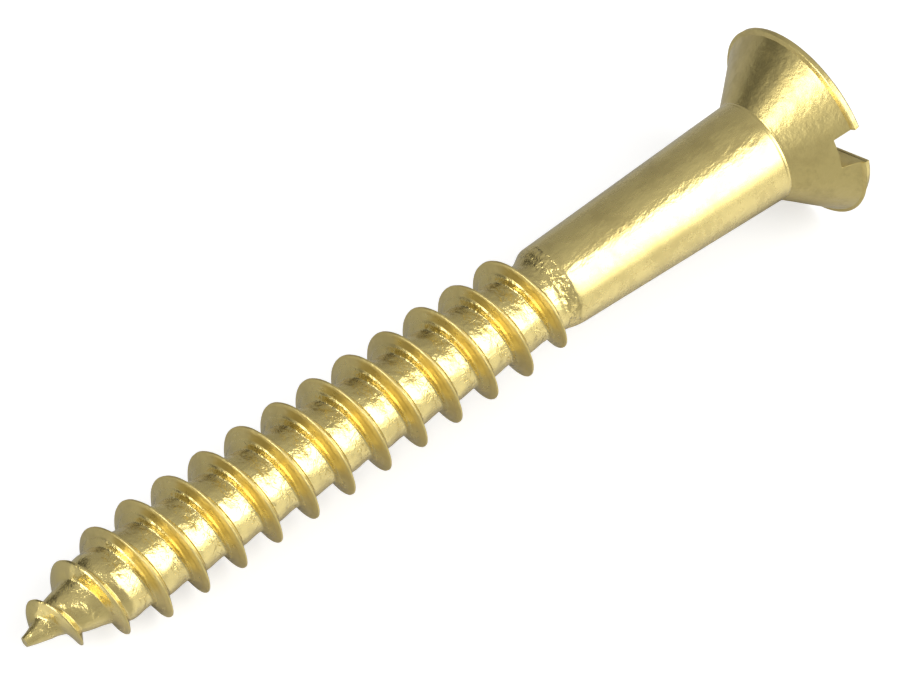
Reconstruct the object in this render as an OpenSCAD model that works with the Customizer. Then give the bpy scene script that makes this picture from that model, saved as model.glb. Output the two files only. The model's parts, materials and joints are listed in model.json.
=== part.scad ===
// Slotted countersunk wood screw in solid brass, No. 8 by 1 1/2 in.
// The screw lies along X: the head faces +X, the point faces -X, and +Z is up.
// The origin is the centre of the head's flat face, on the screw's axis.
// Every section is built along its depth below the flat face, then laid down.

/* [Length] */
// Overall length, from the flat face of the head to the point
screw_length = 38.1; // [36:0.1:50]
// Depth of the end of the plain shank
shank_end = 12.9; // [11.5:0.05:14]
// Length of the slope between the plain shank and the thread's root
run_out_length = 0.5; // [0.3:0.05:0.9]

/* [Head] */
// Diameter of the head
head_d = 8.22; // [7.8:0.02:8.6]
// Angle of the countersunk cone, side to side, in degrees
head_angle = 75.5; // [74:0.5:92]
// Height of the rim, which flares out above the cone
rim_height = 0.15; // [0.1:0.01:0.3]
// How far the rim stands out beyond the top of the cone
rim_flare = 0.24; // [0.05:0.01:0.3]
// Chamfer that breaks the edge of the flat face
rim_chamfer = 0.04; // [0.02:0.01:0.08]

/* [Driver slot] */
// Width of the slot
slot_w = 1.35; // [1:0.05:1.8]
// Depth of the slot
slot_depth = 0.75; // [0.6:0.05:1.2]
// Rise of the slot above level on the -Y side, in degrees
slot_turn = 26.5; // [0:0.1:180]

/* [Shank] */
// Diameter of the shank where it meets the head
shank_head_d = 4.34; // [4:0.02:4.6]
// Diameter of the shank at its far end
shank_end_d = 3.58; // [3.4:0.01:4]

/* [Thread] */
// Diameter over the thread
thread_d = 4.44; // [4.2:0.02:4.7]
// Diameter of the thread's root
core_d = 2.96; // [2.8:0.02:3.2]
// Distance from one turn to the next
pitch = 1.738; // [1.6:0.001:1.9]
// Depth of the first full crest, measured at the top of the screw
first_crest = 14.275; // [14.1:0.005:14.6]
// Width of the thread's flat crest
crest_w = 0.13; // [0.08:0.01:0.2]
// Angle between the two flanks of the thread, in degrees
flank_angle = 50; // [46:1:60]

/* [Point] */
// Angle of the point's cone, side to side, in degrees
point_angle = 39.6; // [36:0.2:44]
// Diameter of the blunt end of the point
tip_d = 0.4; // [0.2:0.02:0.5]

/* [Smoothness] */
// Flat steps in one turn of the thread
turn_steps = 36; // [24:2:48]

/* [Hidden] */
$fn = 96;

brass = [0.80, 0.70, 0.42];
worn_brass = [0.72, 0.61, 0.34];

head_r = head_d / 2;
neck_r = shank_head_d / 2;
core_r = core_d / 2;
tip_r = tip_d / 2;
cone_r = head_r - rim_flare;
head_height = rim_height + (cone_r - neck_r) / tan(head_angle / 2);
run_out_end = shank_end + run_out_length;
point_length = (core_r - tip_r) / tan(point_angle / 2);
point_start = screw_length - point_length;

// The thread rises over half a turn beside the run-out. It loses some height on
// its way to the point, and drops quickly to the core beside the blunt end.
thread_start_turn = -0.72;
thread_rise_turns = 0.57;
lead_end_turn = (screw_length - 0.45 - first_crest) / pitch;
lead_start_turn = (point_start - first_crest) / pitch;
lead_drop_turns = 0.3;
crest_taper_start = point_start - 1.9;
crest_taper_slope = 0.11;
end_height = 0.02;
// How far the thread's foot reaches into the core, so that the two are one
root_sink = 0.06;

// Lays a section down: depth runs towards -X, and the section's own X is up.
module lay_down() {
    rotate([0, -90, 0]) children();
}

// A cone frustum between two depths.
module frustum(from, to, r_from, r_to) {
    translate([0, 0, from]) cylinder(h = to - from, r1 = r_from, r2 = r_to);
}

// Head: flat face with a broken edge, flared rim and countersunk cone.
module head_blank() {
    rotate_extrude() polygon([
        [0, 0],
        [head_r - rim_chamfer, 0],
        [head_r, rim_chamfer],
        [cone_r, rim_height],
        [neck_r, head_height],
        [0, head_height]
    ]);
}

module head() {
    color(brass) lay_down() difference() {
        head_blank();
        rotate([0, 0, 90 + slot_turn])
            translate([-head_d, -slot_w / 2, -slot_depth])
                cube([2 * head_d, slot_w, 2 * slot_depth]);
    }
}

// Plain shank, tapered from the head to the thread.
module shank() {
    color(brass) lay_down()
        frustum(head_height, shank_end, neck_r, shank_end_d / 2);
}

// Run-out: the slope down to the root where the thread begins.
module run_out() {
    color(worn_brass) lay_down()
        frustum(shank_end, run_out_end, shank_end_d / 2, core_r);
}

// Core: the parallel root under the thread.
module core() {
    color(brass) lay_down()
        frustum(run_out_end, point_start, core_r, core_r);
}

// Point: the cone that starts the screw, with a blunt end.
module point() {
    color(brass) lay_down()
        frustum(point_start, screw_length, core_r, tip_r);
}

// Radius of the core, run-out and point at a depth.
function root_r(depth) =
    depth < shank_end ? shank_end_d / 2 :
    depth < run_out_end ? shank_end_d / 2 +
        (core_r - shank_end_d / 2) * (depth - shank_end) / run_out_length :
    depth < point_start ? core_r :
    core_r - (depth - point_start) * tan(point_angle / 2);

// Smooth step from 0 to 1 as x goes from 0 to 1.
function ease(x) = let (c = min(1, max(0, x))) c * c * (3 - 2 * c);

// Height of the crest above the root at a number of turns from the first crest.
function crest_height(turn) =
    let (depth = first_crest + pitch * turn)
    let (full = (thread_d - core_d) / 2)
    let (tapered = min(point_start, depth) - crest_taper_start)
    let (taper = max(0, tapered) * crest_taper_slope)
    let (rise = ease((turn - thread_start_turn) / thread_rise_turns))
    let (drop = ease((lead_end_turn - turn) / lead_drop_turns))
    max(end_height, (full - taper) * rise * drop);

// Four corners of the thread's section at a turn: foot, crest, crest, foot.
function ridge_section(turn) =
    let (depth = first_crest + pitch * turn)
    let (angle = 360 * turn)
    let (crest_r = root_r(depth) + crest_height(turn))
    let (foot_half = crest_w / 2 + (crest_height(turn) + root_sink) * tan(flank_angle / 2))
    let (near_foot = depth - foot_half)
    let (far_foot = depth + foot_half)
    [
        for (corner = [
            [root_r(near_foot) - root_sink, near_foot],
            [crest_r, depth - crest_w / 2],
            [crest_r, depth + crest_w / 2],
            [root_r(far_foot) - root_sink, far_foot]
        ]) [corner[0] * cos(angle), corner[0] * sin(angle), corner[1]]
    ];

// A length of thread between two turns, as one closed solid.
module ridge(from_turn, to_turn) {
    steps = ceil((to_turn - from_turn) * turn_steps);
    corners = 4;
    points = [
        for (i = [0:steps])
            each ridge_section(from_turn + (to_turn - from_turn) * i / steps)
    ];
    sides = [
        for (i = [0:steps - 1], j = [0:corners - 1])
            let (a = i * corners + j)
            let (b = i * corners + (j + 1) % corners)
            each [[a, b, b + corners], [a, b + corners, a + corners]]
    ];
    last = steps * corners;
    ends = [
        [3, 2, 1, 0],
        [last, last + 1, last + 2, last + 3]
    ];
    polyhedron(points = points, faces = concat(sides, ends), convexity = 10);
}

// Thread: the full helix along the core.
module thread() {
    color(brass) lay_down() ridge(thread_start_turn, lead_start_turn);
}

// Lead thread: the last turns, which follow the point's cone.
module lead_thread() {
    color(brass) lay_down() ridge(lead_start_turn, lead_end_turn);
}

head();
shank();
run_out();
core();
point();
thread();
lead_thread();
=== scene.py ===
"""A slotted brass wood screw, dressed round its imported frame.

Laid out as an add-on: each operator makes one piece of the screw, or the studio that it lies in.
Depth is measured along the screw, from the head's flat face (at x = 0) towards the point (-X).
"""

import json
import math

import bmesh
import bpy
from mathutils import Matrix, Vector, noise


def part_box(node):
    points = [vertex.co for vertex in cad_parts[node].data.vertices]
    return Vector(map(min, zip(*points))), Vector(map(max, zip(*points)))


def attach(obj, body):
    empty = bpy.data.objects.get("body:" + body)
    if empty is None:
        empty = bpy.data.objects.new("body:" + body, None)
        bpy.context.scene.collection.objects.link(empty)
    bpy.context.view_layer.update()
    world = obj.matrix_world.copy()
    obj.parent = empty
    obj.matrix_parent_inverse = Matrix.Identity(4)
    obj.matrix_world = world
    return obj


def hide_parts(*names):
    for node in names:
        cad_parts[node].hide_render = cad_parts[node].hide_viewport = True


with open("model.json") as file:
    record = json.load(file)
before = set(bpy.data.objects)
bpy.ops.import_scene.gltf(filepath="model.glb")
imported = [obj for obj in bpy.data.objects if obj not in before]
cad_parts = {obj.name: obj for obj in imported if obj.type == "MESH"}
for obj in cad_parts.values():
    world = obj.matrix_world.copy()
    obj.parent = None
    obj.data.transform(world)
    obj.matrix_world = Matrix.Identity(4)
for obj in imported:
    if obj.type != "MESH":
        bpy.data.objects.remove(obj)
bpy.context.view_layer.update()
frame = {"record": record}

bl_info = {
    "name": "Brass Wood Screw",
    "version": (1, 0, 0),
    "blender": (4, 5, 0),
    "location": "3D View > Sidebar > Wood Screw",
    "description": "Makes the pieces of a slotted brass wood screw and the studio that it lies in",
    "category": "Mesh",
}

MM = 0.001
MICRON = 0.000001


def mount_sizes(name):
    """The stated sizes of one mount, in metres."""
    found = next(m for m in frame["record"]["mounts"] if m["name"] == name)
    return {key: value * MM for key, value in found["dims"].items()}


def depth_to(node):
    """Depth at which a CAD node ends, from the head's flat face."""
    return -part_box(node)[0].x


def radius_of(node):
    """Largest radius of a round CAD node."""
    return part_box(node)[1].z


def mount_depth(name):
    """Depth of one mount."""
    return -next(m for m in frame["record"]["mounts"] if m["name"] == name)["pos_m"][0]


NECK_DEPTH = depth_to("head")
SHANK_DEPTH = depth_to("shank")
RUN_OUT_DEPTH = depth_to("run_out")
POINT_DEPTH = depth_to("core")
SCREW_LENGTH = depth_to("point")
HEAD_RADIUS = radius_of("head")
SEAT_RADIUS = mount_sizes("countersunk_seat")["r_mm"]
RIM_DEPTH = mount_depth("countersunk_seat")
CREST_RADIUS = mount_sizes("wood_thread")["r_mm"]
FIRST_CREST_MM = 14.275
PITCH_MM = 1.738
NECK_RADIUS = radius_of("shank")
SHANK_END_RADIUS = radius_of("run_out")
CORE_RADIUS = radius_of("core")
SLOT_DEPTH = mount_depth("driver_slot")


# ---------------------------------------------------------------- node trees written as expressions


class Value:
    """A node's socket that works in arithmetic: each operation adds one Math node."""

    def __init__(self, graph, socket):
        self.graph = graph
        self.socket = socket

    def __add__(self, other):
        return self.graph.math("ADD", self, other)

    def __radd__(self, other):
        return self.graph.math("ADD", other, self)

    def __sub__(self, other):
        return self.graph.math("SUBTRACT", self, other)

    def __rsub__(self, other):
        return self.graph.math("SUBTRACT", other, self)

    def __mul__(self, other):
        return self.graph.math("MULTIPLY", self, other)

    def __rmul__(self, other):
        return self.graph.math("MULTIPLY", other, self)

    def __truediv__(self, other):
        return self.graph.math("DIVIDE", self, other)

    def __abs__(self):
        return self.graph.math("ABSOLUTE", self)


class Graph:
    """Writes one node tree: a material, a world or a shape."""

    def __init__(self, tree):
        self.tree = tree
        tree.nodes.clear()

    def node(self, kind, settings=None, values=None):
        """Adds a node, sets its settings first, then gives its sockets their values or links."""
        made = self.tree.nodes.new(kind)
        for key, value in (settings or {}).items():
            if key == "stops":
                self.set_stops(made.color_ramp, value)
            else:
                setattr(made, key, value)
        for key, value in (values or {}).items():
            if isinstance(value, Value):
                self.tree.links.new(value.socket, made.inputs[key])
            else:
                made.inputs[key].default_value = value
        return made

    @staticmethod
    def set_stops(ramp, stops):
        """Gives a colour ramp its stops, each a position and a grey level."""
        while len(ramp.elements) < len(stops):
            ramp.elements.new(0.5)
        for element, (position, grey) in zip(ramp.elements, stops):
            element.position = position
            element.color = (grey, grey, grey, 1)

    def add(self, kind, settings=None, values=None, output=0):
        """Adds a node and returns one of its outputs."""
        return Value(self, self.node(kind, settings, values).outputs[output])

    def math(self, operation, *terms):
        return self.add("ShaderNodeMath", {"operation": operation}, dict(enumerate(terms)))

    def vector(self, operation, *terms, output=0):
        return self.add("ShaderNodeVectorMath", {"operation": operation}, dict(enumerate(terms)), output)

    def scaled(self, vector, factor):
        return self.add("ShaderNodeVectorMath", {"operation": "SCALE"}, {0: vector, "Scale": factor})

    def joined(self, x, y, z):
        return self.add("ShaderNodeCombineXYZ", None, {0: x, 1: y, 2: z})

    def parts(self, vector):
        split = self.node("ShaderNodeSeparateXYZ", None, {0: vector})
        return [Value(self, output) for output in split.outputs]

    def step(self, value, low, high, out_low=0.0, out_high=1.0):
        """Eases from out_low to out_high as value goes from low to high."""
        values = {0: value, 1: low, 2: high, 3: out_low, 4: out_high}
        return self.add("ShaderNodeMapRange", {"interpolation_type": "SMOOTHSTEP"}, values)

    def mixed(self, factor, first, second):
        """A colour between two colours."""
        values = {0: factor, 6: first, 7: second}
        return self.add("ShaderNodeMix", {"data_type": "RGBA"}, values, 2)

    def noise(self, vector, scale, detail=2.0, roughness=0.5, distortion=0.0):
        """Cloudy noise from 0 to 1."""
        values = {"Vector": vector, "Scale": scale, "Detail": detail, "Roughness": roughness}
        values["Distortion"] = distortion
        return self.add("ShaderNodeTexNoise", None, values)


# ---------------------------------------------------------------- settings


class HeadSettings(bpy.types.PropertyGroup):
    """Sizes of the head."""

    radius: bpy.props.FloatProperty(
        name="Radius", description="Radius of the head's rim", default=HEAD_RADIUS, unit="LENGTH"
    )
    seat_radius: bpy.props.FloatProperty(
        name="Seat radius",
        description="Radius at the top of the cone",
        default=SEAT_RADIUS,
        unit="LENGTH",
    )
    rim_depth: bpy.props.FloatProperty(
        name="Rim depth", description="Height of the flared rim", default=RIM_DEPTH, unit="LENGTH"
    )
    rim_round: bpy.props.FloatProperty(
        name="Rim round", description="Radius of the rim's edge", default=0.04 * MM, unit="LENGTH"
    )
    offset: bpy.props.FloatProperty(
        name="Offset",
        description="How far the face sits off the axis",
        default=0.075 * MM,
        unit="LENGTH",
    )
    tilt: bpy.props.FloatProperty(
        name="Tilt",
        description="How far the face's near edge stands proud",
        default=0.15 * MM,
        unit="LENGTH",
    )
    full_side: bpy.props.FloatProperty(
        name="Full side",
        description="Extra radius of the cone where there is no lip",
        default=0.12 * MM,
        unit="LENGTH",
    )
    rim_loss: bpy.props.FloatProperty(
        name="Rim loss",
        description="Radius that the rim loses where it has no lip",
        default=0.15 * MM,
        unit="LENGTH",
    )
    slot_width: bpy.props.FloatProperty(
        name="Slot width",
        description="Width of the slot at the face",
        default=1.53 * MM,
        unit="LENGTH",
    )
    slot_draft: bpy.props.FloatProperty(
        name="Slot draft",
        description="How much narrower the slot's floor is",
        default=0.25 * MM,
        unit="LENGTH",
    )
    slot_lean: bpy.props.FloatProperty(
        name="Slot lean",
        description="Sideways run of the saw cut",
        default=0.176 * MM,
        unit="LENGTH",
    )
    slot_depth: bpy.props.FloatProperty(
        name="Slot depth", description="Depth of the driver slot", default=SLOT_DEPTH, unit="LENGTH"
    )
    slot_turn: bpy.props.FloatProperty(
        name="Slot turn",
        description="Rise of the slot above level on the -Y side",
        default=math.radians(26.5),
        subtype="ANGLE",
    )
    edge_round: bpy.props.FloatProperty(
        name="Slot edge",
        description="Radius that breaks the slot's edges",
        default=0.03 * MM,
        unit="LENGTH",
    )


class ShankSettings(bpy.types.PropertyGroup):
    """Sizes of the plain shank."""

    neck_round: bpy.props.FloatProperty(
        name="Neck round",
        description="Reach of the fillet under the head",
        default=0.1 * MM,
        unit="LENGTH",
    )
    neck_bead: bpy.props.FloatProperty(
        name="Neck bead",
        description="Height of the fine ring under the head",
        default=0.014 * MM,
        unit="LENGTH",
    )
    wave: bpy.props.FloatProperty(
        name="Wave",
        description="Height of the shank's slow unevenness",
        default=0.004 * MM,
        unit="LENGTH",
    )
    shoulder_depth: bpy.props.FloatProperty(
        name="Shoulder depth",
        description="Mean depth of the shoulder",
        default=12.77 * MM,
        unit="LENGTH",
    )
    shoulder_skew: bpy.props.FloatProperty(
        name="Shoulder skew",
        description="How far the shoulder's depth sways",
        default=0.16 * MM,
        unit="LENGTH",
    )
    shoulder_slope: bpy.props.FloatProperty(
        name="Shoulder slope", description="Mean fall of the shoulder", default=0.44
    )
    slope_skew: bpy.props.FloatProperty(
        name="Slope skew", description="How far the shoulder's fall sways", default=0.16
    )


class ThreadSettings(bpy.types.PropertyGroup):
    """Sizes of the rolled thread."""

    pitch: bpy.props.FloatProperty(
        name="Pitch",
        description="Distance from one turn to the next",
        default=PITCH_MM * MM,
        unit="LENGTH",
    )
    first_crest: bpy.props.FloatProperty(
        name="First crest",
        description="Depth of the first full crest on top",
        default=FIRST_CREST_MM * MM,
        unit="LENGTH",
    )
    crest_width: bpy.props.FloatProperty(
        name="Crest width", description="Width of the flat crest", default=0.06 * MM, unit="LENGTH"
    )
    flank_angle: bpy.props.FloatProperty(
        name="Flank angle",
        description="Lean of each flank",
        default=math.radians(23.5),
        subtype="ANGLE",
    )
    tip_radius: bpy.props.FloatProperty(
        name="Tip radius", description="Radius of the blunt end", default=0.20 * MM, unit="LENGTH"
    )
    steps_per_turn: bpy.props.IntProperty(
        name="Steps per turn", description="Faces in one turn", default=112, min=24
    )
    steps_across: bpy.props.IntProperty(
        name="Steps across", description="Faces across one turn", default=60, min=12
    )
    seed: bpy.props.FloatProperty(
        name="Seed", description="Picks one run of dents and nicks", default=3.7
    )


class BrassSettings(bpy.types.PropertyGroup):
    """Colours and finish of the brass."""

    bright: bpy.props.FloatVectorProperty(
        name="Bright",
        description="Clean brass",
        default=(0.92, 0.75, 0.285),
        subtype="COLOR",
        size=3,
    )
    dull: bpy.props.FloatVectorProperty(
        name="Dull",
        description="Lightly tarnished brass",
        default=(0.76, 0.61, 0.225),
        subtype="COLOR",
        size=3,
    )
    golden: bpy.props.FloatVectorProperty(
        name="Golden",
        description="Fresh metal in worked places",
        default=(0.95, 0.76, 0.28),
        subtype="COLOR",
        size=3,
    )
    roughness: bpy.props.FloatProperty(
        name="Roughness", description="Blur of the reflections", default=0.27, min=0, max=1
    )


class StudioSettings(bpy.types.PropertyGroup):
    """Camera, floor and lights."""

    azimuth: bpy.props.FloatProperty(
        name="Azimuth",
        description="Turn of the camera from -Y",
        default=math.radians(-39.58),
        subtype="ANGLE",
    )
    elevation: bpy.props.FloatProperty(
        name="Elevation",
        description="Height of the camera",
        default=math.radians(53.70),
        subtype="ANGLE",
    )
    distance: bpy.props.FloatProperty(
        name="Distance",
        description="Distance from camera to head",
        default=250.2 * MM,
        unit="LENGTH",
    )
    head_right: bpy.props.FloatProperty(
        name="Head right",
        description="Head's place right of the centre line",
        default=13.65 * MM,
        unit="LENGTH",
    )
    head_up: bpy.props.FloatProperty(
        name="Head up",
        description="Head's place above the centre line",
        default=8.45 * MM,
        unit="LENGTH",
    )
    lens: bpy.props.FloatProperty(
        name="Lens", description="Focal length in millimetres", default=256.5
    )
    floor_tone: bpy.props.FloatProperty(
        name="Floor tone", description="How pale the floor looks", default=0.60, min=0, max=1
    )


# ---------------------------------------------------------------- brass

# Where each mark fades in or out, from nothing to full: depths and radii in millimetres, then turns.
SHANK_FADE = (2.4, 3.2)
HEAD_FADE = (2.38, 2.30)
GRIT_START = (12.62, 12.74)
GRIT_END = (13.24, 13.08)
ROOT_FADE = (1.86, 1.68)
FOOT_START = (0.12, 0.24)
FOOT_END = (0.62, 0.42)


def surface_places(graph):
    """Place on the screw in millimetres, its depth, and its distance from the axis."""
    raw = graph.add("ShaderNodeTexCoord", None, None, 3)
    place = graph.scaled(raw, 1 / MM)
    x, y, z = graph.parts(place)
    radius = graph.math("SQRT", y * y + z * z)
    return place, 0 - x, y, z, radius


def brass_material(name, settings, is_thread):
    """Brass with tarnish, grain and the run-out's grit, strokes on the shank or marks on the thread."""
    material = bpy.data.materials.new(name)
    material.use_nodes = True
    graph = Graph(material.node_tree)
    place, depth, y, z, radius = surface_places(graph)

    clouds = graph.noise(place, 0.55, 4.0, 0.6)
    mottle = graph.noise(place, 2.6, 3.0, 0.6)
    grain = graph.noise(place, 7.5, 3.0, 0.6)

    tarnish = graph.step(clouds * 0.7 + mottle * 0.3, 0.42, 0.66)
    base = graph.mixed(tarnish, (*settings.bright, 1), (*settings.dull, 1))
    roughness = settings.roughness + (mottle - 0.5) * 0.12 + (clouds - 0.5) * 0.08
    height = grain * 1.6 + mottle * 3.0

    if not is_thread:
        lengthwise = graph.joined(depth * 1.9 + y * 1.1, y * 3.4, z * 3.4)
        strokes = graph.noise(lengthwise, 1.0, 2.5, 0.6)
        on_top = graph.step(z / radius, 0.55, 0.92)
        on_shank = graph.step(depth, *SHANK_FADE)
        on_head = graph.step(depth, *HEAD_FADE)
        blotches = graph.noise(place, 1.3, 4.0, 0.65)
        height = height + strokes * (on_top * on_shank * 34.0 + 2.0)
        height = height + on_head * (blotches * 22.0 + mottle * 7.0)
        stain = graph.step(blotches, 0.50, 0.70) * on_head
        base = graph.mixed(stain * 0.6, base, (*settings.dull, 1))
        roughness = roughness + on_head * 0.05 + stain * 0.05

    band_edge = depth + (mottle - 0.5) * 0.3
    band = graph.step(band_edge, *GRIT_START) * graph.step(band_edge, *GRIT_END)
    grit = graph.add(
        "ShaderNodeTexVoronoi",
        {"feature": "SMOOTH_F1"},
        {"Vector": place, "Scale": 3.6, "Smoothness": 0.5, "Detail": 1.0, "Roughness": 0.6},
    )
    base = graph.mixed(band * 0.45, base, (*settings.golden, 1))
    height = height + band * (grit * -46.0 + mottle * 18.0)

    if is_thread:
        angle = graph.math("ARCTAN2", y, z)
        turned = graph.math("FRACT", (depth - FIRST_CREST_MM) / PITCH_MM - angle / math.tau)
        root = graph.step(radius, *ROOT_FADE)
        foot = root * graph.step(turned, *FOOT_START) * graph.step(turned, *FOOT_END)
        worms = abs(graph.noise(place, 1.9, 1.5, 0.5, 1.4) - 0.5)
        lines = graph.step(worms, 0.05, 0.0)
        blobs = graph.noise(place, 1.5, 2.0, 0.5)
        pits = graph.step(graph.noise(place, 2.3, 1.0, 0.4), 0.66, 0.74) * root
        crumple = 30.0 + graph.step(z / radius, 0.7, 0.95) * 35.0
        height = height + root * (blobs * 30.0 + mottle * crumple) - foot * lines * 6.0 - pits * 10.0
        base = graph.mixed(foot * lines * 0.4 + pits * 0.4, base, (*settings.dull, 1))
        crest = graph.step(radius, CREST_RADIUS / MM - 0.2, CREST_RADIUS / MM - 0.06)
        base = graph.mixed(crest * 0.5, base, (*settings.dull, 1))
        nicks = graph.noise(place, 4.5, 2.0, 0.6)
        height = height + crest * nicks * 24.0
        roughness = roughness + 0.02 - root * 0.04 + crest * 0.14

    bump = graph.add(
        "ShaderNodeBump",
        None,
        {"Height": height, "Distance": MICRON, "Strength": 1.0},
    )
    shader = graph.add(
        "ShaderNodeBsdfPrincipled",
        None,
        {
            "Base Color": base,
            "Roughness": roughness,
            "Metallic": 1.0,
            "Normal": bump,
            "Coat Weight": 0.7,
            "Coat Roughness": 0.22,
        },
    )
    graph.node("ShaderNodeOutputMaterial", None, {"Surface": shader})
    return material


def brass(name):
    """One of the two brass finishes, made the first time that it is asked for."""
    settings = bpy.context.scene.brass_settings
    finish = name + "_finish"
    return bpy.data.materials.get(finish) or brass_material(finish, settings, name == "rolled_brass")


# ---------------------------------------------------------------- shapes


def smooth_min(a, b, reach):
    """The smaller of two lengths, with the same round join as the Smooth Minimum node."""
    near = max(reach - abs(a - b), 0) / reach
    return min(a, b) - near * near * near * reach / 6


def smooth_max(a, b, reach):
    """The larger of two lengths, with a round join."""
    return -smooth_min(-a, -b, reach)


LOW_SIDE = math.radians(-119.5)
NEAR_SIDE = math.radians(-29.5)
LIP_SIDE = math.radians(-14.5)
SHOULDER_JOIN = 0.10 * MM
SHANK_TAPER = (NECK_RADIUS - SHANK_END_RADIUS) / (SHANK_DEPTH - NECK_DEPTH)
BEAD_WIDTH = 0.05 * MM


def cone_radius(depth):
    """Outline of the head's cone below the rim."""
    head = bpy.context.scene.head_settings
    slope = (head.seat_radius - NECK_RADIUS) / (NECK_DEPTH - head.rim_depth)
    return NECK_RADIUS + (NECK_DEPTH - depth) * slope


def shank_radius(depth, angle):
    """Outline of the neck fillet, the taper and the start of the shoulder."""
    shank = bpy.context.scene.shank_settings
    sway = math.cos(angle - LOW_SIDE)
    straight = NECK_RADIUS - (depth - NECK_DEPTH) * SHANK_TAPER
    shoulder = shank.shoulder_depth - shank.shoulder_skew * sway
    fall = shank.shoulder_slope - shank.slope_skew * sway
    run_out = SHANK_END_RADIUS - (depth - shoulder) * fall
    past_bead = (depth - NECK_DEPTH - shank.neck_round) / BEAD_WIDTH
    straight += shank.neck_bead * math.exp(-past_bead * past_bead)
    return smooth_max(smooth_min(straight, run_out, SHOULDER_JOIN), cone_radius(depth), shank.neck_round)


def finish_piece(name, mesh, material, slot, *nodes):
    """Links a finished mesh as a piece that stands for CAD nodes and rides on the screw's body."""
    mesh.name = name
    mesh.materials.clear()
    mesh.materials.append(brass(material))
    piece = bpy.data.objects.new(name, mesh)
    bpy.context.scene.collection.objects.link(piece)
    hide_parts(*nodes)
    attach(piece, "root")
    return piece


def evaluated_mesh(holder):
    """The plain mesh that an object's modifiers make. The object itself is removed."""
    graph = bpy.context.evaluated_depsgraph_get()
    mesh = bpy.data.meshes.new_from_object(holder.evaluated_get(graph), depsgraph=graph)
    bpy.data.objects.remove(holder)
    return mesh


def shade(mesh, sharp_angle=40):
    """Smooth shading with sharp edges where faces turn by more than the angle."""
    mesh.shade_smooth()
    mesh.set_sharp_from_angle(angle=math.radians(sharp_angle))


def ring(bm, depth, radius, angles):
    """One ring of vertices round the axis. Angle 0 is up and a quarter turn is +Y."""
    return [bm.verts.new((-depth, radius * math.sin(a), radius * math.cos(a))) for a in angles]


def uneven(mesh, height, size, seed):
    """Moves each vertex a little in or out along its normal, by slow noise."""
    normals = [v.normal.copy() for v in mesh.vertices]
    for vertex, normal in zip(mesh.vertices, normals):
        place = vertex.co / size + Vector((seed, seed, seed))
        vertex.co += normal * height * noise.fractal(place, 0.8, 2.0, 3)


def shank_mesh(settings):
    """Plain shank: rings from the neck to the run-out, closed by two discs."""
    columns = bpy.context.scene.thread_settings.steps_per_turn * 2
    rows = 190
    bm = bmesh.new()
    rings = []
    for row in range(rows + 1):
        share = (row / rows) ** 1.4
        depth = NECK_DEPTH + (SHANK_DEPTH - NECK_DEPTH) * share
        swell = math.sin(math.pi * share) ** 0.5 * settings.wave
        points = []
        for i in range(columns):
            angle = math.tau * i / columns
            radius = shank_radius(depth, angle)
            place = Vector((depth / MM * 0.5, math.sin(angle) * 1.3, math.cos(angle) * 1.3))
            radius += swell * noise.fractal(place, 0.9, 2.0, 3)
            points.append((-depth, radius * math.sin(angle), radius * math.cos(angle)))
        rings.append([bm.verts.new(point) for point in points])
    for upper, lower in zip(rings, rings[1:]):
        for i in range(columns):
            j = (i + 1) % columns
            bm.faces.new((upper[i], upper[j], lower[j], lower[i]))
    bm.faces.new(reversed(rings[0]))
    bm.faces.new(rings[-1])
    bmesh.ops.recalc_face_normals(bm, faces=bm.faces)
    mesh = bpy.data.meshes.new("shank")
    bm.to_mesh(mesh)
    bm.free()
    return mesh


CONE_ROWS = 34
SLOT_ROWS = 14
FLARE_ROWS = 16
LIP_TURN = 0.4
EDGE_ROWS = 5


def head_rows(head):
    """Depth and radius of each ring of the head, from the neck to the edge of the flat face."""
    rows = []
    for i in range(CONE_ROWS):
        depth = NECK_DEPTH + (head.slot_depth - NECK_DEPTH) * i / CONE_ROWS
        rows.append((depth, shank_radius(depth, 0)))
    for i in range(SLOT_ROWS):
        depth = head.slot_depth + (head.rim_depth - head.slot_depth) * i / SLOT_ROWS
        rows.append((depth, cone_radius(depth)))
    lip = head.radius - head.seat_radius
    for i in range(FLARE_ROWS):
        share = i / FLARE_ROWS
        depth = head.rim_depth + (head.rim_round - head.rim_depth) * share
        swell = math.sin(min(share / LIP_TURN, 1) * math.pi / 2)
        rows.append((depth, head.seat_radius + lip * (swell * 0.86 + share * 0.14)))
    for i in range(EDGE_ROWS + 1):
        turn = math.pi / 2 * i / EDGE_ROWS
        depth = head.rim_round * (1 - math.sin(turn))
        rows.append((depth, head.radius - head.rim_round * (1 - math.cos(turn))))
    return rows


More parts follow.
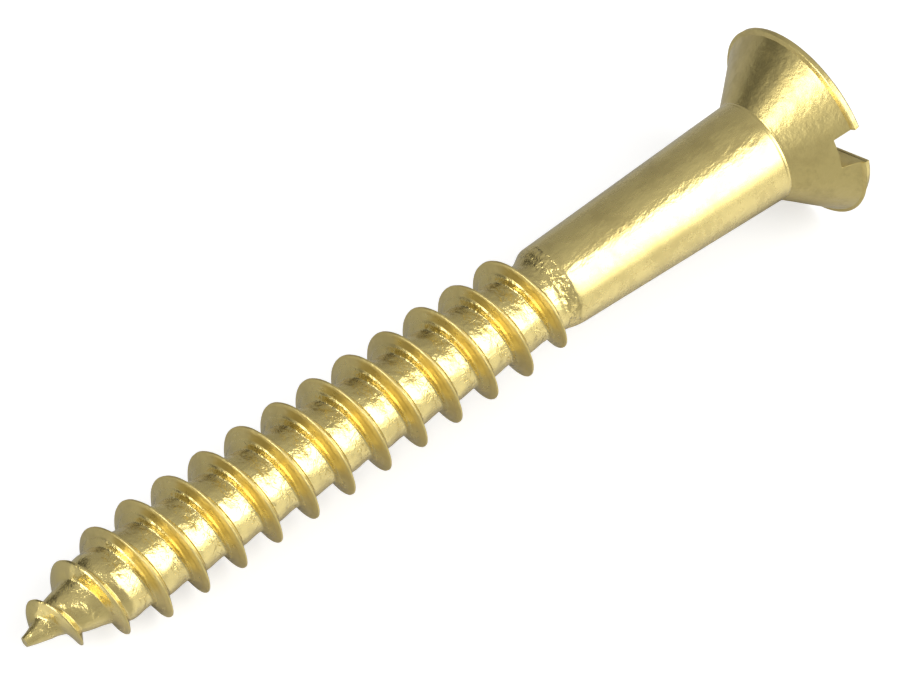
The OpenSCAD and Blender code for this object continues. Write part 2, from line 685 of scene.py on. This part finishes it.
def head_mesh(head):
    """Head: a turned blank whose rings open at the driver slot, with flat cheeks, walls and floor."""
    cheek_steps = 112
    slot_steps = 10
    near_end = head.slot_turn - math.pi / 2
    bm = bmesh.new()
    weight = bm.edges.layers.float.new("bevel_weight_edge")

    def walls(depth):
        """Offsets of the two slot walls from the slot's middle line at a depth."""
        share = min(depth / head.slot_depth, 1)
        middle = head.slot_lean * (0.59 - share)
        half = (head.slot_width - head.slot_draft * share) / 2
        return middle - half, middle + half

    def between(start, end, steps):
        return [start + (end - start) * i / steps for i in range(steps + 1)]

    cheeks = []
    mouths = []
    for index, (depth, radius) in enumerate(head_rows(head)):
        low, high = (math.asin(wall / radius) for wall in walls(depth))
        upper = between(near_end + high, near_end + math.pi - high, cheek_steps)
        lower = between(near_end + math.pi - low, near_end + math.tau + low, cheek_steps)
        cheeks.append([ring(bm, depth, radius, angles) for angles in (upper, lower)])
        if index <= CONE_ROWS:
            far = between(near_end + math.pi - high, near_end + math.pi - low, slot_steps)[1:-1]
            near = between(near_end + low, near_end + high, slot_steps)[1:-1]
            mouths.append([ring(bm, depth, radius, angles) for angles in (far, near)])

    def band(lower, upper):
        for a, b, c, d in zip(lower, lower[1:], upper[1:], upper):
            bm.faces.new((a, b, c, d))

    def whole_ring(index):
        """The closed ring of one row below the slot: cheek, far mouth, cheek, near mouth."""
        return [*cheeks[index][0], *mouths[index][0], *cheeks[index][1], *mouths[index][1]]

    for index in range(CONE_ROWS):
        lower = whole_ring(index)
        upper = whole_ring(index + 1)
        band([*lower, lower[0]], [*upper, upper[0]])
    for index in range(CONE_ROWS, len(cheeks) - 1):
        for side in (0, 1):
            band(cheeks[index][side], cheeks[index + 1][side])
    bm.faces.new(whole_ring(0))

    edges = []
    for side in (0, 1):
        bm.faces.new(cheeks[-1][side])
        starts = [cheeks[i][side][0] for i in range(CONE_ROWS, len(cheeks))]
        ends = [cheeks[i][side][-1] for i in range(CONE_ROWS, len(cheeks))]
        wall = bm.faces.new([*starts, *reversed(ends)])
        edges += wall.edges
    first, second = cheeks[CONE_ROWS]
    far, near = mouths[CONE_ROWS]
    floor = bm.faces.new([first[-1], *far, second[0], second[-1], *near, first[0]])
    edges += floor.edges
    for edge in edges:
        edge[weight] = 1.0
    bmesh.ops.recalc_face_normals(bm, faces=bm.faces)
    mesh = bpy.data.meshes.new("head")
    bm.to_mesh(mesh)
    bm.free()
    return mesh


def skew_head(mesh, head):
    """Leaves the rim's lip on the near side only and sets the face off the axis and out of square."""
    low = Vector((0, math.sin(LOW_SIDE), math.cos(LOW_SIDE)))
    near = Vector((0, math.sin(NEAR_SIDE), math.cos(NEAR_SIDE)))
    lip_middle = Vector((0, math.sin(LIP_SIDE), math.cos(LIP_SIDE)))
    for vertex in mesh.vertices:
        depth = -vertex.co.x
        out = Vector((0, vertex.co.y, vertex.co.z))
        round_share = min(out.length / head.seat_radius, 1)
        facing = out.dot(lip_middle) / max(out.length, MICRON)
        ease = min(max((facing + 0.1) / 0.6, 0), 1)
        no_lip = (1 - ease * ease * (3 - 2 * ease)) * round_share
        share = max(1 - depth / NECK_DEPTH, 0)
        below_lip = min(max((depth - head.rim_round) / (head.rim_depth - head.rim_round), 0), 1)
        in_rim = (1 - below_lip) * no_lip
        grow = head.full_side * share * below_lip * no_lip - head.rim_loss * in_rim
        vertex.co += out.normalized() * grow
        vertex.co -= low * head.offset * share
        vertex.co.x += head.tilt * max(1 - depth / head.rim_depth, 0) * out.dot(near) / HEAD_RADIUS


FLAT_INSET = 0.03 * MM


def rounded_head(mesh, head):
    """Breaks the slot's edges and keeps the flat faces flat up to them."""
    holder = bpy.data.objects.new("head_blank", mesh)
    bpy.context.scene.collection.objects.link(holder)
    bevel = holder.modifiers.new("edges", "BEVEL")
    bevel.limit_method = "WEIGHT"
    bevel.width = head.edge_round
    bevel.segments = 3
    bevel.use_clamp_overlap = True
    made = evaluated_mesh(holder)
    bm = bmesh.new()
    bm.from_mesh(made)
    flats = [face for face in bm.faces if len(face.verts) > 12]
    bmesh.ops.inset_individual(bm, faces=flats, thickness=FLAT_INSET)
    bm.to_mesh(made)
    bm.free()
    return made


# ---------------------------------------------------------------- thread


START_TURN = -0.72
RISE_TURNS = 0.57
DROP_TURNS = 0.3
LEAD_STOP = 0.45 * MM
FADE_LENGTH = 1.9 * MM
FADE_SLOPE = 0.11
BEND_LENGTH = 1.3 * MM
TIP_BEND = 0.12 * MM
CORE_OFFSET = 0.07 * MM
CORE_JOIN = 0.15 * MM
POINT_JOIN = 0.12 * MM
CREST_JOIN = 0.07 * MM
FOOT_JOIN = 0.09 * MM
CREST_SWAY = 0.22 * MM
CREST_RAGGEDNESS = 0.012 * MM
GROOVE_WIDTH = 0.05 * MM
GROOVE_DEPTH = 0.012 * MM
RIDGE_LEAN = 0.04 * MM
LUMP_HEIGHT = 0.045 * MM
MERGE_DISTANCE = 0.0015 * MM

THREAD_INPUTS = [
    ("From Depth", "NodeSocketFloat"),
    ("To Depth", "NodeSocketFloat"),
    ("First Turn", "NodeSocketInt"),
    ("Turns", "NodeSocketInt"),
    ("Steps Per Turn", "NodeSocketInt"),
    ("Steps Across", "NodeSocketInt"),
    ("Pitch", "NodeSocketFloat"),
    ("First Crest", "NodeSocketFloat"),
    ("Core Radius", "NodeSocketFloat"),
    ("Crest Height", "NodeSocketFloat"),
    ("Crest Width", "NodeSocketFloat"),
    ("Flank Slope", "NodeSocketFloat"),
    ("Shank Radius", "NodeSocketFloat"),
    ("Shank Depth", "NodeSocketFloat"),
    ("Shoulder Depth", "NodeSocketFloat"),
    ("Shoulder Skew", "NodeSocketFloat"),
    ("Shoulder Slope", "NodeSocketFloat"),
    ("Slope Skew", "NodeSocketFloat"),
    ("Shank Taper", "NodeSocketFloat"),
    ("Tip Radius", "NodeSocketFloat"),
    ("Tip Depth", "NodeSocketFloat"),
    ("Point Depth", "NodeSocketFloat"),
    ("Start Turn", "NodeSocketFloat"),
    ("Lead Turn", "NodeSocketFloat"),
    ("Seed", "NodeSocketFloat"),
    ("Material", "NodeSocketMaterial"),
]


def thread_tree():
    """A strip that winds round the axis once a turn. Its outline holds root, flanks and crest."""
    tree = bpy.data.node_groups.get("rolled_thread")
    if tree:
        return tree
    tree = bpy.data.node_groups.new("rolled_thread", "GeometryNodeTree")
    tree.is_modifier = True
    for name, kind in THREAD_INPUTS:
        tree.interface.new_socket(name, in_out="INPUT", socket_type=kind)
    tree.interface.new_socket("Geometry", in_out="OUTPUT", socket_type="NodeSocketGeometry")
    graph = Graph(tree)
    source = graph.node("NodeGroupInput")
    given = {name: Value(graph, source.outputs[name]) for name, _ in THREAD_INPUTS}

    steps = given["Steps Per Turn"]
    across = given["Steps Across"]
    pitch = given["Pitch"]
    grid = graph.add(
        "GeometryNodeMeshGrid",
        None,
        {
            "Size X": 1.0,
            "Size Y": 1.0,
            "Vertices X": given["Turns"] * steps + 1,
            "Vertices Y": across + 1,
        },
    )
    index = graph.add("GeometryNodeInputIndex")
    row = graph.math("FLOOR", (index + 0.5) / (across + 1))
    column = index - row * (across + 1)

    around = graph.math("FLOORED_MODULO", row, steps) / steps
    side = column / across * 2 - 1
    spread = graph.math("SIGN", side) * graph.math("POWER", abs(side), 1.5) * 0.5
    wound = given["First Crest"] + pitch * (given["First Turn"] + row / steps + spread)
    depth = graph.math("MAXIMUM", graph.math("MINIMUM", wound, given["To Depth"]), given["From Depth"])

    turns_down = (depth - given["First Crest"]) / pitch
    offset = graph.math("WRAP", turns_down - around, 0.5, -0.5)
    crest_turn = turns_down - offset
    angle = around * math.tau
    direction = graph.joined(0.0, graph.math("SINE", angle), graph.math("COSINE", angle))

    sway = graph.math("COSINE", angle - LOW_SIDE)
    shoulder = given["Shoulder Depth"] - given["Shoulder Skew"] * sway
    fall = given["Shoulder Slope"] - given["Slope Skew"] * sway
    run_out = given["Shank Radius"] - (depth - shoulder) * fall
    taper = given["Shank Radius"] + (given["Shank Depth"] - depth) * given["Shank Taper"]
    slope = graph.math("SMOOTH_MIN", taper, run_out, SHOULDER_JOIN)
    core = given["Core Radius"] + (sway + 1.0) * CORE_OFFSET
    body = graph.math("SMOOTH_MAX", slope, core, CORE_JOIN)
    point_length = given["Tip Depth"] - given["Point Depth"]
    cone_slope = (given["Core Radius"] - given["Tip Radius"]) / point_length
    cone = given["Tip Radius"] + (given["Tip Depth"] - depth) * cone_slope
    root = graph.math("SMOOTH_MIN", body, cone, POINT_JOIN)

    crest_depth = given["First Crest"] + crest_turn * pitch
    past = graph.math("MAXIMUM", crest_depth - given["Point Depth"] + FADE_LENGTH, 0.0)
    fade = graph.math("MINIMUM", past, FADE_LENGTH) * FADE_SLOPE
    rise = graph.step(crest_turn, given["Start Turn"], given["Start Turn"] + RISE_TURNS)
    drop = graph.step(crest_turn, given["Lead Turn"], given["Lead Turn"] - DROP_TURNS)
    grown = rise * drop
    turn_place = graph.joined(crest_turn * 2.2, given["Seed"], 0.0)
    sway_of_crest = graph.noise(turn_place, 1.0, 2.0, 0.6) - 0.5
    ragged_place = graph.joined(crest_turn * 26.0, offset * 5.0, given["Seed"])
    ragged = graph.noise(ragged_place, 1.0, 3.0, 0.7) - 0.5
    height = given["Crest Height"] - fade
    height = height + sway_of_crest * CREST_SWAY + ragged * CREST_RAGGEDNESS
    full = height * grown

    away = abs(offset) * pitch
    flank = full - (away - given["Crest Width"] / 2) / given["Flank Slope"]
    ridge = graph.math("SMOOTH_MIN", flank, full, CREST_JOIN)
    ridge = graph.math("SMOOTH_MAX", ridge, 0.0, grown * FOOT_JOIN)
    groove = graph.step(away, 0.0, GROOVE_WIDTH, GROOVE_DEPTH, 0.0) * grown
    settled = graph.step(depth, given["Shank Depth"] + 0.4 * MM, given["Shank Depth"] + 1.2 * MM)
    lean = graph.math("SINE", offset * math.tau) * -RIDGE_LEAN * settled * grown
    along = graph.joined(depth / MM * 1.3, given["Seed"], 0.0)
    lump_place = graph.vector("ADD", graph.scaled(direction, 2.4), along)
    lumps = (graph.noise(lump_place, 1.0, 3.0, 0.55) - 0.5) * LUMP_HEIGHT * settled
    radius = root + ridge - groove + lean + lumps

    bend = graph.step(depth, given["Tip Depth"] - BEND_LENGTH, given["Tip Depth"]) * TIP_BEND
    axis = graph.joined(0 - depth, bend * math.sin(LOW_SIDE), bend * math.cos(LOW_SIDE))
    place = graph.vector("ADD", graph.scaled(direction, radius), axis)
    strip = graph.add("GeometryNodeSetPosition", None, {"Geometry": grid, "Position": place})
    tube = graph.add("GeometryNodeMergeByDistance", None, {"Geometry": strip, "Distance": MERGE_DISTANCE})

    neighbours = graph.add("GeometryNodeInputMeshEdgeNeighbors")
    equal = {"data_type": "INT", "operation": "EQUAL"}
    rim = graph.add("FunctionNodeCompare", equal, {2: neighbours, 3: 1})
    caps = graph.node(
        "GeometryNodeExtrudeMesh",
        {"mode": "EDGES"},
        {"Mesh": tube, "Selection": rim, "Offset Scale": 0.0},
    )
    capped = Value(graph, caps.outputs["Mesh"])
    inner = Value(graph, caps.outputs["Top"])
    here = graph.add("GeometryNodeInputPosition")
    middle = graph.joined(graph.parts(here)[0], 0.0, 0.0)
    closed = graph.add(
        "GeometryNodeSetPosition", None, {"Geometry": capped, "Selection": inner, "Position": middle}
    )
    merged = graph.add(
        "GeometryNodeMergeByDistance", None, {"Geometry": closed, "Distance": MERGE_DISTANCE}
    )
    real = graph.add("GeometryNodeRealizeInstances", None, {"Geometry": merged})
    dressed = graph.add(
        "GeometryNodeSetMaterial", None, {"Geometry": real, "Material": given["Material"]}
    )
    graph.node("NodeGroupOutput", None, {"Geometry": dressed})
    return tree


def thread_mesh(settings, name, from_depth, to_depth):
    """The thread between two depths, as one plain closed mesh."""
    shank = bpy.context.scene.shank_settings
    first_turn = math.floor((from_depth - settings.first_crest) / settings.pitch) - 1
    last_turn = math.ceil((to_depth - settings.first_crest) / settings.pitch) + 1
    inputs = {
        "From Depth": from_depth,
        "To Depth": to_depth,
        "First Turn": first_turn,
        "Turns": last_turn - first_turn,
        "Steps Per Turn": settings.steps_per_turn,
        "Steps Across": settings.steps_across,
        "Pitch": settings.pitch,
        "First Crest": settings.first_crest,
        "Core Radius": CORE_RADIUS,
        "Crest Height": CREST_RADIUS - CORE_RADIUS,
        "Crest Width": settings.crest_width,
        "Flank Slope": math.tan(settings.flank_angle),
        "Shank Radius": SHANK_END_RADIUS,
        "Shank Depth": SHANK_DEPTH,
        "Shoulder Depth": shank.shoulder_depth,
        "Shoulder Skew": shank.shoulder_skew,
        "Shoulder Slope": shank.shoulder_slope,
        "Slope Skew": shank.slope_skew,
        "Shank Taper": SHANK_TAPER,
        "Tip Radius": settings.tip_radius,
        "Tip Depth": SCREW_LENGTH,
        "Point Depth": POINT_DEPTH,
        "Start Turn": START_TURN,
        "Lead Turn": (SCREW_LENGTH - LEAD_STOP - settings.first_crest) / settings.pitch,
        "Seed": settings.seed,
        "Material": brass("rolled_brass"),
    }
    holder = bpy.data.objects.new(name + "_blank", bpy.data.meshes.new(name + "_blank"))
    bpy.context.scene.collection.objects.link(holder)
    modifier = holder.modifiers.new("thread", "NODES")
    tree = thread_tree()
    modifier.node_group = tree
    for item in tree.interface.items_tree:
        if item.in_out == "INPUT":
            modifier[item.identifier] = inputs[item.name]
    mesh = evaluated_mesh(holder)
    bm = bmesh.new()
    bm.from_mesh(mesh)
    bmesh.ops.dissolve_degenerate(bm, dist=0.0005 * MM, edges=bm.edges)
    bmesh.ops.recalc_face_normals(bm, faces=bm.faces)
    bm.to_mesh(mesh)
    bm.free()
    return mesh


# ---------------------------------------------------------------- operators


class SCREW_OT_head(bpy.types.Operator):
    """Makes the countersunk head with its driver slot"""

    bl_idname = "screw.head"
    bl_label = "Head"

    def execute(self, context):
        head = context.scene.head_settings
        mesh = rounded_head(head_mesh(head), head)
        skew_head(mesh, head)
        uneven(mesh, 0.005 * MM, 1.1 * MM, 5.0)
        shade(mesh, 30)
        finish_piece("countersunk_head", mesh, "turned_brass", "turned_brass", "head")
        return {"FINISHED"}


class SCREW_OT_shank(bpy.types.Operator):
    """Makes the plain tapered shank"""

    bl_idname = "screw.shank"
    bl_label = "Shank"

    def execute(self, context):
        settings = context.scene.shank_settings
        mesh = shank_mesh(settings)
        shade(mesh)
        finish_piece("plain_shank", mesh, "turned_brass", "turned_brass", "shank")
        return {"FINISHED"}


class SCREW_OT_thread(bpy.types.Operator):
    """Makes the run-out, the threaded body and the gimlet point, which share one rolled thread"""

    bl_idname = "screw.thread"
    bl_label = "Thread"

    def execute(self, context):
        settings = context.scene.thread_settings
        zones = [
            ("thread_run_out", SHANK_DEPTH, RUN_OUT_DEPTH, ["run_out"]),
            ("threaded_body", RUN_OUT_DEPTH, POINT_DEPTH, ["core", "thread"]),
            ("gimlet_point", POINT_DEPTH, SCREW_LENGTH, ["point", "lead_thread"]),
        ]
        for name, from_depth, to_depth, nodes in zones:
            mesh = thread_mesh(settings, name, from_depth, to_depth)
            shade(mesh, 60)
            finish_piece(name, mesh, "rolled_brass", "rolled_brass", *nodes)
        return {"FINISHED"}


FLOOR_GLOW = 0.62
FLOOR_SHEEN = 0.17
DARK_AZIMUTH = math.radians(-157)


def direction_from(azimuth, elevation):
    """Unit vector towards a place at an azimuth, from -Y towards +X, and an elevation."""
    return Vector((
        math.sin(azimuth) * math.cos(elevation),
        -math.cos(azimuth) * math.cos(elevation),
        math.sin(elevation),
    ))


def add_camera(studio):
    """The camera, aimed level across its frame, with the head up and to the right."""
    back = direction_from(studio.azimuth, studio.elevation)
    turn = (-back).to_track_quat("-Z", "Y")
    right = turn @ Vector((1, 0, 0))
    up = turn @ Vector((0, 1, 0))
    data = bpy.data.cameras.new("camera")
    data.lens = studio.lens
    data.sensor_width = 36
    data.clip_start = 0.01
    data.clip_end = 10
    camera = bpy.data.objects.new("camera", data)
    camera.rotation_mode = "QUATERNION"
    camera.rotation_quaternion = turn
    camera.location = back * studio.distance - right * studio.head_right - up * studio.head_up
    bpy.context.scene.collection.objects.link(camera)
    bpy.context.scene.camera = camera


def add_softbox(name, azimuth, elevation, width, height, radiance):
    """A rectangular soft light at arm's length, turned to the middle of the screw."""
    distance = 0.5
    middle = Vector((-SCREW_LENGTH / 2, 0, 0))
    away = direction_from(math.radians(azimuth), math.radians(elevation))
    data = bpy.data.lights.new(name, "AREA")
    data.shape = "RECTANGLE"
    data.size = 2 * distance * math.tan(math.radians(width / 2))
    data.size_y = 2 * distance * math.tan(math.radians(height / 2))
    data.energy = radiance * math.pi * data.size * data.size_y
    light = bpy.data.objects.new(name, data)
    light.location = middle + away * distance
    light.rotation_mode = "QUATERNION"
    light.rotation_quaternion = away.to_track_quat("Z", "Y")
    bpy.context.scene.collection.objects.link(light)


def add_floor(studio):
    """A wide sheet, sloped from rim to crests: pale and glowing when seen, darker in reflections."""
    slope = math.atan((HEAD_RADIUS - CREST_RADIUS) / (POINT_DEPTH - 0.5 * MM))
    size = 1.2
    steps = 24
    bm = bmesh.new()
    bmesh.ops.create_grid(bm, x_segments=steps, y_segments=steps, size=size)
    touch = Matrix.Translation((0, 0, -HEAD_RADIUS)) @ Matrix.Rotation(slope, 4, "Y")
    bmesh.ops.transform(bm, matrix=touch, verts=bm.verts)
    mesh = bpy.data.meshes.new("studio_floor")
    bm.to_mesh(mesh)
    bm.free()
    material = bpy.data.materials.new("pale_sheet")
    material.use_nodes = True
    graph = Graph(material.node_tree)
    seen = graph.add("ShaderNodeLightPath", None, None, 0)
    shown = (studio.floor_tone,) * 3
    mirrored = (0.42, 0.42, 0.41)
    base = graph.mixed(seen, (*mirrored, 1), (*shown, 1))
    glow = seen * FLOOR_GLOW
    diffuse = graph.add("ShaderNodeBsdfDiffuse", None, {"Color": base})
    sheen = graph.add("ShaderNodeBsdfAnisotropic", None, {"Color": (1, 1, 1, 1), "Roughness": 0.35})
    surface = graph.add("ShaderNodeMixShader", None, {0: (1 - seen) * FLOOR_SHEEN, 1: diffuse, 2: sheen})
    lit = graph.add("ShaderNodeEmission", None, {"Color": (1, 1, 1, 1), "Strength": glow})
    both = graph.add("ShaderNodeAddShader", None, {0: surface, 1: lit})
    graph.node("ShaderNodeOutputMaterial", None, {"Surface": both})
    mesh.materials.append(material)
    floor = bpy.data.objects.new("studio_floor", mesh)
    bpy.context.scene.collection.objects.link(floor)


def add_world():
    """Pale surroundings, brighter overhead and dimmer behind the screw, with one dark corner."""
    world = bpy.data.worlds.new("studio")
    world.use_nodes = True
    graph = Graph(world.node_tree)
    way = graph.add("ShaderNodeTexCoord", None, None, 0)
    _, y, z = graph.parts(way)
    level = graph.step(y, -0.2, 0.7, 0.40, 0.32) + graph.step(z, 0.5, 1.0, 0.0, 0.12)
    corner = direction_from(DARK_AZIMUTH, 0)
    towards = graph.vector("DOT_PRODUCT", way, tuple(corner), output=1)
    dark = graph.step(towards, 0.72, 0.95)
    strength = level * (1 - dark * 0.8)
    light = graph.node("ShaderNodeBackground", None, {"Color": (1, 1, 1, 1), "Strength": strength})
    graph.node("ShaderNodeOutputWorld", None, {"Surface": Value(graph, light.outputs[0])})
    bpy.context.scene.world = world


class SCREW_OT_studio(bpy.types.Operator):
    """Sets the floor, the soft lights and the camera"""

    bl_idname = "screw.studio"
    bl_label = "Studio"

    def execute(self, context):
        studio = context.scene.studio_settings
        add_floor(studio)
        add_world()
        add_softbox("key_softbox", 32, 36, 24, 52, 2.8)
        add_softbox("key_scrim", 32, 32, 44, 70, 1.2)
        add_softbox("side_softbox", -97, 31, 21, 44, 4.2)
        add_softbox("low_softbox", -82, 13, 44, 26, 1.1)
        add_camera(studio)
        context.scene.view_settings.view_transform = "Standard"
        return {"FINISHED"}


class SCREW_PT_panel(bpy.types.Panel):
    """Lists the settings and the steps that make the screw"""

    bl_label = "Wood Screw"
    bl_space_type = "VIEW_3D"
    bl_region_type = "UI"
    bl_category = "Wood Screw"

    def draw(self, context):
        for group, steps in PANEL_SECTIONS:
            box = self.layout.box()
            settings = getattr(context.scene, group)
            for name in settings.__annotations__:
                box.prop(settings, name)
            for step in steps:
                box.operator(step)


PANEL_SECTIONS = [
    ("brass_settings", []),
    ("head_settings", ["screw.head"]),
    ("shank_settings", ["screw.shank"]),
    ("thread_settings", ["screw.thread"]),
    ("studio_settings", ["screw.studio"]),
]

SETTINGS = {
    "head_settings": HeadSettings,
    "shank_settings": ShankSettings,
    "thread_settings": ThreadSettings,
    "brass_settings": BrassSettings,
    "studio_settings": StudioSettings,
}

OPERATORS = [SCREW_OT_head, SCREW_OT_shank, SCREW_OT_thread, SCREW_OT_studio]


def register():
    for name, group in SETTINGS.items():
        bpy.utils.register_class(group)
        setattr(bpy.types.Scene, name, bpy.props.PointerProperty(type=group))
    for operator in OPERATORS:
        bpy.utils.register_class(operator)
    bpy.utils.register_class(SCREW_PT_panel)


def unregister():
    bpy.utils.unregister_class(SCREW_PT_panel)
    for operator in reversed(OPERATORS):
        bpy.utils.unregister_class(operator)
    for name, group in reversed(SETTINGS.items()):
        delattr(bpy.types.Scene, name)
        bpy.utils.unregister_class(group)


def main():
    """Makes the screw and its studio."""
    register()
    bpy.ops.screw.studio()
    bpy.ops.screw.head()
    bpy.ops.screw.shank()
    bpy.ops.screw.thread()


if __name__ == "__main__":
    main()
